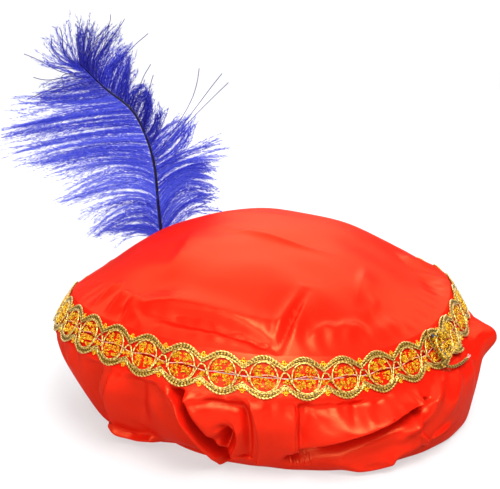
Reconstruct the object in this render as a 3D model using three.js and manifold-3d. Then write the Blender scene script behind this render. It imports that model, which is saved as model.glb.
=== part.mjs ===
// A feathered beret lying on a surface: a round satin crown and a gathered satin side panel, both
// hollow cloth walls, an elastic hem round the head opening, a scalloped gold braid over the seam
// with one end folded over the other, and an ostrich feather tucked behind the braid.
// Millimetres, +Z up, the wearer's front towards -Y. Azimuths are in degrees round the hat's own
// axis: 0 is the front, 90 the +X side. The origin is under the middle of the whole outline.
import * as THREE from "three";
import { mergeVertices } from "three/addons/utils/BufferGeometryUtils.js";
import Module from "manifold-3d";

const wasm = await Module();
wasm.setup();

const DEGREE = Math.PI / 180;

// Driving sizes
const HAT_X = 16;
const HAT_Y = -0.5;
const WALL = 1.5;
const GAP = 0.3;

// The seam between crown and side panel, which is also the braid's middle line
const SEAM_ROWS = [
  { azimuth: 0, radius: 139, height: 73 },
  { azimuth: 30, radius: 139, height: 67.5 },
  { azimuth: 60, radius: 140.5, height: 69 },
  { azimuth: 90, radius: 142, height: 76 },
  { azimuth: 120, radius: 142, height: 72 },
  { azimuth: 150, radius: 140.5, height: 68 },
  { azimuth: 180, radius: 139, height: 66 },
  { azimuth: 210, radius: 139, height: 64 },
  { azimuth: 240, radius: 140.5, height: 63 },
  { azimuth: 270, radius: 141.5, height: 72 },
  { azimuth: 300, radius: 142, height: 80 },
  { azimuth: 330, radius: 140.5, height: 79.5 },
];
const BRAID = { half: 13.6, scallop: 1.5, thick: 1.8, slope: 31 * DEGREE, ovals: 34, perOval: 5 };

// How far the panel runs straight down from the seam under the braid
const BELOW = BRAID.half - GAP;

// The crown's height above the floor at three shares of the braid's radius, and at its middle
const CROWN_MIDDLE = 127;
const CROWN_SHIFT = 8;
const CROWN_SHARES = [0, 0.35, 0.65, 0.85, 1];
const CROWN_ROWS = [
  { azimuth: 0, near: 123, middle: 115, far: 100 },
  { azimuth: 45, near: 119, middle: 105, far: 90 },
  { azimuth: 90, near: 118, middle: 103, far: 92 },
  { azimuth: 135, near: 122, middle: 112, far: 98 },
  { azimuth: 180, near: 125, middle: 115, far: 96 },
  { azimuth: 225, near: 123, middle: 112, far: 90 },
  { azimuth: 270, near: 122, middle: 111, far: 96 },
  { azimuth: 315, near: 124, middle: 117, far: 104 },
];
const CROWN_COLUMNS = 60;
const CROWN_STATIONS = [0, 0.16, 0.32, 0.46, 0.58, 0.69, 0.79, 0.88, 0.95, 1];

// The side panel's widest place and where it first touches the floor, round the hat
const PANEL_ROWS = [
  { azimuth: 0, wide: 145, high: 40, foot: 122 },
  { azimuth: 30, wide: 156, high: 38, foot: 141 },
  { azimuth: 60, wide: 159, high: 42, foot: 150 },
  { azimuth: 90, wide: 159, high: 51, foot: 147 },
  { azimuth: 120, wide: 150, high: 41, foot: 136 },
  { azimuth: 150, wide: 151, high: 40, foot: 128 },
  { azimuth: 180, wide: 150, high: 38, foot: 124 },
  { azimuth: 210, wide: 150, high: 36, foot: 124 },
  { azimuth: 240, wide: 149, high: 34, foot: 126 },
  { azimuth: 270, wide: 144, high: 44, foot: 127 },
  { azimuth: 300, wide: 146, high: 48, foot: 121 },
  { azimuth: 330, wide: 145, high: 46, foot: 113 },
];
// Shares of the panel's drop at the braid's lower edge, the widest place, the lower wall, the
// foot, the flat stretch inside it and the hem
const PANEL_PLACES = [0.11, 0.34, 0.6, 0.74, 0.82, 1];
const PANEL_COLUMNS = 100;
const PANEL_STATIONS = [0, 0.11, 0.19, 0.27, 0.34, 0.42, 0.51, 0.6, 0.69, 0.78, 1];
// Length of the drop, and of one degree of azimuth, in the map that the folds are placed on
const PANEL_DROP = 130;
const PANEL_ARC = 2.6;

// The lower wall stands at this share of the way out from the foot and of the widest place's height
const LOWER_WALL = 0.3;
// The panel meets the floor at this share of the foot's radius, with its outer face this high, and
// runs inside at this share of the way to the hem, a little higher
const FOOT = { share: 0.97, high: 0.4, inside: 0.3, insideHigh: 2 };
// Drops between which the folds come in below the braid
const FOLDS_BEGIN = [0.13, 0.24];

// The elastic hem, a flattened casing that stands on the floor
const HEM = { x: 6, y: -27, radius: 80, high: 10, thick: 4, gathers: 26, ripple: 0.7 };
// Corners of the casing's section: how far out from its inside face, and how high
const HEM_CORNERS = [
  { out: 0.8, up: 0 },
  { out: 3.2, up: 0 },
  { out: 4, up: 2 },
  { out: 3.7, up: 9 },
  { out: 2.4, up: 10 },
  { out: 0, up: 8.5 },
];

// The panel's wall keeps this far outside the hem, where a valley would reach it
const CLEAR_OF_HEM = 4;

// Folds: a soft ridge, or a valley where high is negative, along a bent line. left and right are
// its widths on its two sides; start and end say how much of it is left at its two ends.
// On the crown a place is [X, Y], on the panel it is [azimuth, drop].
const FOLD_STEPS = 16;
const FOLD_FADE = 0.4;
const CROWN_FOLDS = [
  { from: [-91, -88], bend: [-45, -97], to: [2, -122], high: 4, left: 18, right: 7, start: 0.2, end: 0.6 },
  { from: [-57, -111], bend: [-22, -119], to: [3, -129], high: -4, left: 6, right: 8, start: 0, end: 0.6 },
  { from: [12, -131], bend: [19, -113], to: [31, -76], high: 4.5, left: 8, right: 8, start: 0.6, end: 0 },
  { from: [36, -122], bend: [47, -99], to: [66, -92], high: 2.5, left: 8, right: 8, start: 0.2, end: 0 },
  { from: [-45, 30], bend: [-50, -30], to: [-64, -72], high: 1.5, left: 14, right: 8, start: 0, end: 0 },
  { from: [40, 90], bend: [20, 112], to: [24, 128], high: 4, left: 12, right: 10, start: 0, end: 1 },
  { from: [-70, 70], bend: [-82, 84], to: [-92, 92], high: -3, left: 10, right: 10, start: 0, end: 1 },
  { from: [100, 20], bend: [112, 24], to: [130, 30], high: 3, left: 9, right: 9, start: 0, end: 1 },
];
const PANEL_FOLDS = [
  { from: [-46, 0.16], bend: [-46, 0.4], to: [-54, 0.72], high: 6, left: 5, right: 16, start: 0.3, end: 1 },
  { from: [-50, 0.5], bend: [-47, 0.64], to: [-43, 0.74], high: 6, left: 9, right: 6, start: 0, end: 1 },
  { from: [-33, 0.3], bend: [-31, 0.5], to: [-27, 0.74], high: -6, left: 12, right: 10, start: 0, end: 1 },
  { from: [-26, 0.15], bend: [-20.5, 0.4], to: [-14.5, 0.8], high: 8, left: 9, right: 5, start: 0.3, end: 1 },
  { from: [-24, 0.15], bend: [-17, 0.34], to: [-10.5, 0.62], high: -6, left: 5, right: 5, start: 0.2, end: 0.5 },
  { from: [-18.5, 0.13], bend: [-13, 0.36], to: [-5, 0.72], high: 5, left: 5, right: 12, start: 0.3, end: 0.6 },
  { from: [-7.3, 0.38], bend: [-7, 0.46], to: [-6.5, 0.62], high: -8, left: 6, right: 5, start: 0, end: 1 },
  { from: [-2.5, 0.14], bend: [1, 0.35], to: [3.6, 0.8], high: 4, left: 6, right: 12, start: 0.4, end: 1 },
  { from: [12, 0.3], bend: [24, 0.2], to: [38, 0.18], high: 4, left: 10, right: 14, start: 0, end: 0.3 },
  { from: [10, 0.66], bend: [24.5, 0.42], to: [41, 0.25], high: -9, left: 11, right: 11, start: 0.6, end: 0.2 },
  { from: [20, 0.68], bend: [32, 0.52], to: [47, 0.46], high: 6, left: 9, right: 12, start: 0.6, end: 0.2 },
  { from: [24, 0.66], bend: [27, 0.71], to: [31, 0.76], high: 6, left: 9, right: 10, start: 0, end: 1 },
  { from: [54, 0.14], bend: [38, 0.24], to: [42, 0.5], high: 6, left: 8, right: 9, start: 0.3, end: 0.2 },
  { from: [38, 0.56], bend: [45, 0.63], to: [52, 0.58], high: -6, left: 8, right: 8, start: 0, end: 0 },
  { from: [62, 0.14], bend: [49, 0.32], to: [50, 0.62], high: 4, left: 8, right: 8, start: 0.2, end: 0.4 },
  { from: [84, 0.15], bend: [89, 0.3], to: [84, 0.5], high: 9, left: 13, right: 12, start: 0.5, end: 0 },
  { from: [-76, 0.16], bend: [-78, 0.36], to: [-72, 0.72], high: -4, left: 12, right: 12, start: 0, end: 0.8 },
  { from: [-104, 0.14], bend: [-100, 0.4], to: [-96, 0.8], high: 4, left: 14, right: 12, start: 0.2, end: 1 },
  { from: [118, 0.14], bend: [112, 0.4], to: [108, 0.8], high: 5, left: 14, right: 12, start: 0.2, end: 1 },
  { from: [134, 0.2], bend: [132, 0.5], to: [126, 0.8], high: -5, left: 14, right: 12, start: 0.2, end: 1 },
  { from: [152, 0.14], bend: [150, 0.4], to: [146, 0.8], high: 5, left: 16, right: 12, start: 0.2, end: 1 },
  { from: [174, 0.2], bend: [170, 0.5], to: [168, 0.8], high: -4, left: 14, right: 12, start: 0.2, end: 1 },
  { from: [-168, 0.14], bend: [-165, 0.4], to: [-160, 0.8], high: 5, left: 14, right: 14, start: 0.2, end: 1 },
  { from: [-146, 0.2], bend: [-142, 0.5], to: [-140, 0.8], high: -4, left: 14, right: 12, start: 0.2, end: 1 },
  { from: [-128, 0.16], bend: [-126, 0.4], to: [-120, 0.8], high: 4, left: 12, right: 12, start: 0.2, end: 1 },
];

// The feather's shaft, from its hidden root between the cloth and the braid up to its tip:
// across is along X, back along Y and up along Z, from the hat's axis at the floor
const SHAFT = { radius: 1.5, tip: 0.6, steps: 16, sides: 6 };
const SHAFT_LINE = [
  { across: -79, back: 123.6, up: 54.9 },
  { across: -79.2, back: 116, up: 66 },
  { across: -79.5, back: 108.3, up: 76.8 },
  { across: -80, back: 103, up: 90 },
  { across: -82, back: 102, up: 118 },
  { across: -84, back: 104, up: 146 },
  { across: -90, back: 107, up: 169 },
  { across: -101, back: 110, up: 190 },
  { across: -121, back: 113, up: 206 },
  { across: -142, back: 116, up: 226 },
];

// Locks of barbs on each side of the shaft: where they leave it, where they bend, where they end
const LEFT_LOCKS = [
  { along: 0.89, bend: [-145, 209], tip: [-166, 201], wide: 11 },
  { along: 0.81, bend: [-145, 198], tip: [-184, 200], wide: 11 },
  { along: 0.76, bend: [-145, 189], tip: [-192, 184], wide: 14 },
  { along: 0.7, bend: [-142, 182], tip: [-201, 171], wide: 16 },
  { along: 0.63, bend: [-134, 172], tip: [-193, 160], wide: 16 },
  { along: 0.57, bend: [-131, 162], tip: [-190, 148], wide: 14 },
  { along: 0.5, bend: [-122, 156], tip: [-169, 144], wide: 13 },
  { along: 0.44, bend: [-111, 144], tip: [-150, 125], wide: 14 },
  { along: 0.37, bend: [-108, 131], tip: [-157, 116], wide: 14 },
  { along: 0.32, bend: [-105, 121], tip: [-140, 102], wide: 14 },
  { along: 0.26, bend: [-101, 108], tip: [-131, 89], wide: 14 },
  { along: 0.19, bend: [-94, 94], tip: [-115, 78], wide: 14 },
];
const RIGHT_LOCKS = [
  { along: 0.96, bend: [-137, 240], tip: [-129, 265], wide: 11 },
  { along: 0.92, bend: [-128, 240], tip: [-110, 266], wide: 11 },
  { along: 0.86, bend: [-118, 236], tip: [-100, 265], wide: 13 },
  { along: 0.81, bend: [-110, 229], tip: [-90, 264], wide: 13 },
  { along: 0.77, bend: [-105, 218], tip: [-84, 250], wide: 13 },
  { along: 0.69, bend: [-98, 207], tip: [-98, 236], wide: 13 },
  { along: 0.6, bend: [-88, 191], tip: [-94, 225], wide: 11 },
  { along: 0.55, bend: [-83, 181], tip: [-85, 198], wide: 7 },
  { along: 0.51, bend: [-70, 166], tip: [-63, 200], wide: 11 },
  { along: 0.48, bend: [-62, 160], tip: [-36, 181], wide: 13 },
  { along: 0.43, bend: [-56, 152], tip: [-24, 167], wide: 14 },
  { along: 0.37, bend: [-60, 141], tip: [-38, 145], wide: 14 },
  { along: 0.29, bend: [-64, 135], tip: [-39, 133], wide: 11 },
  { along: 0.21, bend: [-61, 116], tip: [-36, 119], wide: 13 },
  { along: 0.17, bend: [-61, 103], tip: [-41, 108], wide: 12 },
];
// swell is the part of a half wave that a lock's width follows, rootWide its share at the backing
const LOCK = { steps: 4, thick: 3, tipThick: 0.8, tipWide: 0.25, swell: [0.18, 0.9], rootWide: 0.5 };
const BACKING = { from: 0.17, to: 0.985, steps: 10, wide: 4.4, deep: 3.2 };

// The folded end of the braid, lying on the braid over its other end
const BRAID_END = { from: 52, to: 64, steps: 8, skew: 4, lift: BRAID.thick + 3 * GAP };
// How far the braid stands out where it passes over the quill, and over how many degrees
const LOOP = { azimuth: -145.6, out: 4, width: 4.5 };

const plan = (azimuth, radius, height) => {
  const angle = azimuth * DEGREE;
  return new THREE.Vector3(radius * Math.sin(angle), -radius * Math.cos(angle), height);
};

// A smooth curve through values at even or uneven places, flat at its start if asked
function through(places, values, at, flatStart = false) {
  const last = places.length - 1;
  const slope = (i) => {
    if (flatStart && i === 0) return 0;
    const a = Math.max(i - 1, 0);
    const b = Math.min(i + 1, last);
    return (values[b] - values[a]) / (places[b] - places[a]);
  };
  let i = 0;
  while (i < last - 1 && at > places[i + 1]) i += 1;
  const span = places[i + 1] - places[i];
  const t = (at - places[i]) / span;
  const rest = 1 - t;
  return (
    values[i] * rest * rest * (1 + 2 * t) +
    values[i + 1] * t * t * (3 - 2 * t) +
    span * (slope(i) * t * rest * rest - slope(i + 1) * t * t * rest)
  );
}

// One column of a table with a row for each evenly spaced azimuth, read all round the hat
function around(rows, column, azimuth) {
  const step = 360 / rows.length;
  const turns = (((azimuth % 360) + 360) % 360) / step;
  const start = Math.floor(turns);
  const values = [-1, 0, 1, 2].map((k) => rows[(start + k + rows.length) % rows.length][column]);
  return through([-1, 0, 1, 2], values, turns - start);
}

// A point of the slope under the braid, below is how far it is from the braid's middle line
function underBraid(azimuth, below, out = 0) {
  const radius = around(SEAM_ROWS, "radius", azimuth);
  const height = around(SEAM_ROWS, "height", azimuth);
  return plan(
    azimuth,
    radius + below * Math.sin(BRAID.slope) + out * Math.cos(BRAID.slope),
    height - below * Math.cos(BRAID.slope) + out * Math.sin(BRAID.slope),
  );
}

// Height of all the folds at a place, in a map whose two directions have their own scales
function foldHeight(folds, u, v, scaleU, scaleV) {
  let total = 0;
  for (const fold of folds) {
    let nearest = Infinity;
    let best = null;
    for (let step = 0; step <= FOLD_STEPS; step += 1) {
      const t = step / FOLD_STEPS;
      const weights = [(1 - t) * (1 - t), 2 * t * (1 - t), t * t];
      const line = [0, 1].map(
        (k) => weights[0] * fold.from[k] + weights[1] * fold.bend[k] + weights[2] * fold.to[k],
      );
      const away = [(u - line[0]) * scaleU, (v - line[1]) * scaleV];
      const distance = Math.hypot(away[0], away[1]);
      if (distance < nearest) {
        const ahead = [0, 1].map(
          (k) => (1 - t) * (fold.bend[k] - fold.from[k]) + t * (fold.to[k] - fold.bend[k]),
        );
        const run = Math.hypot(ahead[0] * scaleU, ahead[1] * scaleV) * Math.max(distance, 1e-6);
        nearest = distance;
        best = { t, turn: (ahead[0] * scaleU * away[1] - ahead[1] * scaleV * away[0]) / run };
      }
    }
    const width = (fold.left + fold.right + (fold.left - fold.right) * best.turn) / 2;
    const rise = fold.start + (1 - fold.start) * THREE.MathUtils.smoothstep(best.t, 0, FOLD_FADE);
    const fall = fold.end + (1 - fold.end) * THREE.MathUtils.smoothstep(1 - best.t, 0, FOLD_FADE);
    total += fold.high * rise * fall * Math.exp(-((nearest / width) ** 2));
  }
  return total;
}

// The crown's outer face: share 0 is its middle, share 1 the braid's upper edge
function crownBase(azimuth, share) {
  const edge = underBraid(azimuth, -BRAID.half);
  const heights = [
    CROWN_MIDDLE,
    around(CROWN_ROWS, "near", azimuth),
    around(CROWN_ROWS, "middle", azimuth),
    around(CROWN_ROWS, "far", azimuth),
    edge.z,
  ];
  const shift = CROWN_SHIFT * (1 - share * share);
  const height = through(CROWN_SHARES, heights, share, true);
  return new THREE.Vector3(edge.x * share, edge.y * share + shift, height);
}

function crownPoint(azimuth, share) {
  const point = crownBase(azimuth, share);
  point.z += foldHeight(CROWN_FOLDS, point.x, point.y, 1, 1) * Math.min(1, (1 - share) * 8);
  return point;
}

// The side panel's outer face: drop 0 is the seam under the braid, drop 1 the top of the hem
function panelPoint(azimuth, drop) {
  const wide = around(PANEL_ROWS, "wide", azimuth);
  const high = around(PANEL_ROWS, "high", azimuth);
  const foot = around(PANEL_ROWS, "foot", azimuth);
  if (drop < PANEL_PLACES[0]) return underBraid(azimuth, GAP + (drop / PANEL_PLACES[0]) * BELOW);
  const angle = azimuth * DEGREE;
  const hemRadius = HEM.radius + HEM.thick / 2;
  const hemX = HEM.x + hemRadius * Math.sin(angle);
  const hemY = HEM.y - hemRadius * Math.cos(angle);
  const ground = plan(azimuth, foot * FOOT.share, FOOT.high);
  const knots = [
    underBraid(azimuth, BRAID.half),
    plan(azimuth, wide, high),
    plan(azimuth, foot + LOWER_WALL * (wide - foot), LOWER_WALL * high),
    ground,
    ground.clone().lerp(new THREE.Vector3(hemX, hemY, FOOT.insideHigh), FOOT.inside),
    new THREE.Vector3(hemX, hemY, HEM.high - 1),
  ];
  const point = new THREE.Vector3(
    through(PANEL_PLACES, knots.map((p) => p.x), drop),
    through(PANEL_PLACES, knots.map((p) => p.y), drop),
    through(PANEL_PLACES, knots.map((p) => p.z), drop),
  );
  const clear = THREE.MathUtils.smoothstep(drop, ...FOLDS_BEGIN) * Math.min(1, (1 - drop) * 5);
  const turned = azimuth > 180 ? azimuth - 360 : azimuth;
  const out = clear * foldHeight(PANEL_FOLDS, turned, drop, PANEL_ARC, PANEL_DROP);
  point.x += out * Math.sin(angle);
  point.y -= out * Math.cos(angle);
  point.z = Math.max(point.z, 0);
  const fromHem = Math.hypot(point.x - HEM.x, point.y - HEM.y);
  const least = hemRadius + (drop < 0.8 ? CLEAR_OF_HEM : 0);
  if (point.z < 2 * HEM.high && fromHem < least) {
    point.x = HEM.x + ((point.x - HEM.x) * least) / fromHem;
    point.y = HEM.y + ((point.y - HEM.y) * least) / fromHem;
  }
  return point;
}

// A cloth wall from a grid of outer points, one list for each column round the hat
function clothWall(name, columns, floor, apex) {
  const count = columns.length;
  const rows = columns[0].length;
  const at = (i, j) => columns[(i + count) % count][THREE.MathUtils.clamp(j, 0, rows - 1)];
  const inner = columns.map((column, i) =>
    column.map((point, j) => {
      const along = new THREE.Vector3().subVectors(at(i, j + 1), at(i, j - 1));
      const round = new THREE.Vector3().subVectors(at(i + 1, j), at(i - 1, j));
      const outward = new THREE.Vector3().crossVectors(along, round).normalize();
      if (apex && j === 0) outward.set(0, 0, 1);
      const moved = point.clone().addScaledVector(outward, -WALL);
      moved.z = Math.max(moved.z, floor);
      return moved;
    }),
  );
  const positions = [];
  const triangle = (a, b, c) => positions.push(...a.toArray(), ...b.toArray(), ...c.toArray());
  const quad = (a, b, c, d) => {
    triangle(a, b, c);
    triangle(a, c, d);
  };
  for (let i = 0; i < count; i += 1) {
    const next = (i + 1) % count;
    for (let j = 0; j < rows - 1; j += 1) {
      if (apex && j === 0) {
        triangle(columns[i][0], columns[i][1], columns[next][1]);
        triangle(inner[i][0], inner[next][1], inner[i][1]);
      } else {
        quad(columns[i][j], columns[i][j + 1], columns[next][j + 1], columns[next][j]);
        quad(inner[i][j], inner[next][j], inner[next][j + 1], inner[i][j + 1]);
      }
    }
    const end = rows - 1;
    quad(columns[i][end], inner[i][end], inner[next][end], columns[next][end]);
    if (!apex) quad(columns[i][0], columns[next][0], inner[next][0], inner[i][0]);
  }
  return named(name, positions);
}

// A closed band swept round from a list of sections, each with the same number of corners
function band(name, sections, closed) {
  const positions = [];
  const triangle = (a, b, c) => positions.push(...a.toArray(), ...b.toArray(), ...c.toArray());
  const corners = sections[0].length;
  const spans = closed ? sections.length : sections.length - 1;
  for (let i = 0; i < spans; i += 1) {
    const here = sections[i];
    const next = sections[(i + 1) % sections.length];
    for (let k = 0; k < corners; k += 1) {
      const other = (k + 1) % corners;
      triangle(here[k], next[k], next[other]);
      triangle(here[k], next[other], here[other]);
    }
  }
  if (!closed) {
    const last = sections[sections.length - 1];
    for (let k = 1; k < corners - 1; k += 1) {
      triangle(sections[0][0], sections[0][k], sections[0][k + 1]);
      triangle(last[0], last[k + 1], last[k]);
    }
  }
  return named(name, positions);
}

const COLOURS = {
  satin: { color: 0xff4b28, roughness: 0.38, metalness: 0 },
  braid: { color: 0xb8922f, roughness: 0.35, metalness: 0.8 },
  feather: { color: 0x3c3cd2, roughness: 0.75, metalness: 0 },
  quill: { color: 0x14123a, roughness: 0.4, metalness: 0 },
};

function meshOf(name, geometry, slot) {
  const mesh = new THREE.Mesh(geometry, new THREE.MeshStandardMaterial(COLOURS[slot]));
  mesh.name = name;
  mesh.position.set(HAT_X, HAT_Y, 0);
  return mesh;
}

function named(name, positions) {
  const geometry = new THREE.BufferGeometry();
  geometry.setAttribute("position", new THREE.Float32BufferAttribute(positions, 3));
  return { name, geometry: mergeVertices(geometry, 1e-4) };
}

function crown() {
  const columns = [];
  for (let i = 0; i < CROWN_COLUMNS; i += 1) {
    const azimuth = (i * 360) / CROWN_COLUMNS;
    const column = CROWN_STATIONS.map((share) => crownPoint(azimuth, share));
    column.push(underBraid(azimuth, -GAP));
    columns.push(column);
  }
  return clothWall("crown", columns, 0, true);
}

function sidePanel() {
  const columns = [];
  for (let i = 0; i < PANEL_COLUMNS; i += 1) {
    const azimuth = (i * 360) / PANEL_COLUMNS;
    columns.push(PANEL_STATIONS.map((drop) => panelPoint(azimuth, drop)));
  }
  return clothWall("side_panel", columns, WALL, false);
}

function elasticHem() {
  const sections = [];
  for (let i = 0; i < HEM.gathers * 2; i += 1) {
    const angle = (i * Math.PI) / HEM.gathers;
    const ripple = i % 2 === 0 ? HEM.ripple : 0;
    const inside = HEM.radius - HEM.thick / 2 - 2 * GAP - ripple;
    sections.push(
      HEM_CORNERS.map(({ out, up }) => {
        const radius = inside + out;
        return new THREE.Vector3(HEM.x + radius * Math.sin(angle), HEM.y - radius * Math.cos(angle), up);
      }),
    );
  }
  return band("elastic_hem", sections, true);
}

// Corners of the braid's section: its scalloped edges swing in and out with each oval
function braidSection(azimuth, phase, out) {
  const swing = BRAID.scallop * Math.cos(phase);
  const over = out + LOOP.out * Math.exp(-(((azimuth - 360 - LOOP.azimuth) / LOOP.width) ** 4));
  const edge = BRAID.half - BRAID.scallop + swing;
  return [
    underBraid(azimuth, -edge, over),
    underBraid(azimuth, edge, over),
    underBraid(azimuth, edge, over + BRAID.thick),
    underBraid(azimuth, -edge, over + BRAID.thick),
  ];
}

function braidTrim() {
  const sections = [];
  const count = BRAID.ovals * BRAID.perOval;
  for (let i = 0; i < count; i += 1) {
    sections.push(braidSection((i * 360) / count, (i * 2 * Math.PI) / BRAID.perOval, GAP));
  }
  return band("braid_trim", sections, true);
}

function braidEnd() {
  const sections = [];
  for (let i = 0; i <= BRAID_END.steps; i += 1) {
    const share = i / BRAID_END.steps;
    const azimuth = BRAID_END.from + share * (BRAID_END.to - BRAID_END.from);
    const corner = (side, layer) =>
      underBraid(
        azimuth + BRAID_END.skew * side * (1 - share),
        side * (BRAID.half - 0.5),
        BRAID_END.lift + layer * BRAID.thick,
      );
    sections.push([
      corner(0, 0),
      corner(1, 0),
      corner(1, 1),
      corner(0, 1),
      corner(-1, 1),
      corner(-1, 0),
    ]);
  }
  return band("braid_end", sections, false);
}

const shaftCurve = new THREE.CatmullRomCurve3(
  SHAFT_LINE.map(({ across, back, up }) => new THREE.Vector3(across, back, up)),
);

function featherShaft() {
  const sections = [];
  for (let i = 0; i <= SHAFT.steps; i += 1) {
    const share = i / SHAFT.steps;
    const centre = shaftCurve.getPointAt(share);
    const ahead = shaftCurve.getTangentAt(share);
    const side = new THREE.Vector3(ahead.z, 0, -ahead.x).normalize();
    const back = new THREE.Vector3().crossVectors(ahead, side);
    const radius = SHAFT.radius + share * (SHAFT.tip - SHAFT.radius);
    const section = [];
    for (let k = 0; k < SHAFT.sides; k += 1) {
      const angle = (-k * 2 * Math.PI) / SHAFT.sides;
      section.push(
        centre
          .clone()
          .addScaledVector(side, radius * Math.cos(angle))
          .addScaledVector(back, radius * Math.sin(angle)),
      );
    }
    sections.push(section);
  }
  return band("feather_shaft", sections, false);
}

// A blade along points of the feather's plane, diamond in section: wide in the plane, thin across
function blade(points, widths, depths) {
  const sections = points.map((point, i) => {
    const before = points[Math.max(i - 1, 0)];
    const after = points[Math.min(i + 1, points.length - 1)];
    const ahead = new THREE.Vector3().subVectors(after, before).normalize();
    const side = new THREE.Vector3(ahead.z, 0, -ahead.x).normalize();
    const behind = new THREE.Vector3().crossVectors(ahead, side);
    const offset = (across, back) =>
      point.clone().addScaledVector(side, across).addScaledVector(behind, back);
    const wide = widths[i] / 2;
    const deep = depths[i] / 2;
    return [offset(wide, 0), offset(0, -deep), offset(-wide, 0), offset(0, deep)];
  });
  return toSolid(band("blade", sections, false).geometry);
}

function toSolid(geometry) {
  return new wasm.Manifold(
    new wasm.Mesh({
      numProp: 3,
      vertProperties: geometry.attributes.position.array,
      triVerts: new Uint32Array(geometry.index.array),
    }),
  );
}

// One side of the feather: locks of barbs joined to a thin backing that runs beside the shaft
function vane(name, locks, side) {
  const beside = (share, away) => {
    const ahead = shaftCurve.getTangentAt(share);
    const offset = new THREE.Vector3(ahead.z, 0, -ahead.x).normalize().multiplyScalar(side * away);
    return shaftCurve.getPointAt(share).add(offset);
  };
  const backing = [];
  for (let i = 0; i <= BACKING.steps; i += 1) {
    const share = BACKING.from + ((BACKING.to - BACKING.from) * i) / BACKING.steps;
    backing.push(beside(share, SHAFT.radius + GAP + BACKING.wide / 2));
  }
  let solid = blade(backing, backing.map(() => BACKING.wide), backing.map(() => BACKING.deep));
  for (const lock of locks) {
    const root = beside(lock.along, SHAFT.radius + GAP + BACKING.wide / 2);
    const bend = new THREE.Vector3(lock.bend[0], root.y, lock.bend[1]);
    const tip = new THREE.Vector3(lock.tip[0], root.y, lock.tip[1]);
    const control = bend.clone().multiplyScalar(2).sub(root.clone().add(tip).multiplyScalar(0.5));
    const line = new THREE.QuadraticBezierCurve3(root, control, tip);
    const points = line.getPoints(LOCK.steps);
    const widths = points.map((_, i) => {
      const share = i / LOCK.steps;
      const swell = Math.sin(Math.PI * THREE.MathUtils.lerp(...LOCK.swell, share));
      return lock.wide * Math.max(swell, LOCK.tipWide) * (i === 0 ? LOCK.rootWide : 1);
    });
    const depths = points.map((_, i) => LOCK.thick + (i / LOCK.steps) * (LOCK.tipThick - LOCK.thick));
    solid = solid.add(blade(points, widths, depths));
  }
  const mesh = solid.getMesh();
  const geometry = new THREE.BufferGeometry();
  geometry.setAttribute("position", new THREE.Float32BufferAttribute(mesh.vertProperties, 3));
  geometry.setIndex(new THREE.Uint32BufferAttribute(mesh.triVerts, 1));
  return { name, geometry };
}

const hat = new THREE.Group();
for (const { slot, pieces } of [
  { slot: "satin", pieces: [crown(), sidePanel(), elasticHem()] },
  { slot: "braid", pieces: [braidTrim(), braidEnd()] },
  { slot: "quill", pieces: [featherShaft()] },
  {
    slot: "feather",
    pieces: [vane("vane_left", LEFT_LOCKS, -1), vane("vane_right", RIGHT_LOCKS, 1)],
  },
]) {
  for (const { name, geometry } of pieces) hat.add(meshOf(name, geometry, slot));
}

export default hat;
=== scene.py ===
import math

import bpy
import numpy as np
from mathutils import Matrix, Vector


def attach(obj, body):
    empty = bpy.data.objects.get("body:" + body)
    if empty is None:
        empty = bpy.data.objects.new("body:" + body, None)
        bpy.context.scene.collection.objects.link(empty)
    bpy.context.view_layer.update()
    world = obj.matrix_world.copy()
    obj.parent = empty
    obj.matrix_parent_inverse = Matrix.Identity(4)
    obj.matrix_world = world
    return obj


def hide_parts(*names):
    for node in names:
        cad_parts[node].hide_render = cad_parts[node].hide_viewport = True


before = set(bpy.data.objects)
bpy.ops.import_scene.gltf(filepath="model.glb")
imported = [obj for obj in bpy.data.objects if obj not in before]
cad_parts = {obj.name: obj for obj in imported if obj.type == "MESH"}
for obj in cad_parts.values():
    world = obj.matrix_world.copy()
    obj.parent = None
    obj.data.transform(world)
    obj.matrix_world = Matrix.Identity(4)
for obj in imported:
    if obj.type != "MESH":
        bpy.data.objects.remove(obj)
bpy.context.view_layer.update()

# A feathered beret lying on a pale surface. Tables are in millimetres from the hat's own axis at the
# floor; azimuths are in degrees round it, 0 at the front and 90 on the +X side.
MM = 0.001
HAT = np.array([16.0, -0.5, 0.0])
GAP = 0.3
rng = np.random.default_rng(11)

# The braid's middle line at each 30 degrees, and the slope that the braid lies on
SEAM = {
    "radius": [139, 139, 140.5, 142, 142, 140.5, 139, 139, 140.5, 141.5, 142, 140.5],
    "height": [73, 67.5, 69, 76, 72, 68, 66, 64, 63, 72, 80, 79.5],
}
BRAID_HALF, BRAID_SLOPE = 13.6, math.radians(31)

# The crown's heights between its middle and the seam, at each 45 degrees
CROWN_MIDDLE, CROWN_SHIFT = 127, 8
CROWN_SHARES = [0, 0.35, 0.65, 0.85, 1]
CROWN = {
    "near": [123, 119, 118, 122, 125, 123, 122, 124],
    "middle": [115, 105, 103, 112, 115, 112, 111, 117],
    "far": [100, 90, 92, 98, 96, 90, 96, 104],
}

# The panel at each 30 degrees: its widest radius, how high that is, and the radius of its foot
PANEL = {
    "wide": [145, 156, 159, 159, 150, 151, 150, 150, 149, 144, 146, 145],
    "high": [40, 38, 42, 51, 41, 40, 38, 36, 34, 44, 48, 46],
    "foot": [122, 141, 154, 148, 136, 128, 124, 124, 126, 127, 121, 113],
}
# Drops of the knots: the braid's lower edge, widest, above the foot, foot, tuck and hem
PANEL_PLACES = [0.11, 0.34, 0.6, 0.74, 0.82, 1]
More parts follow.
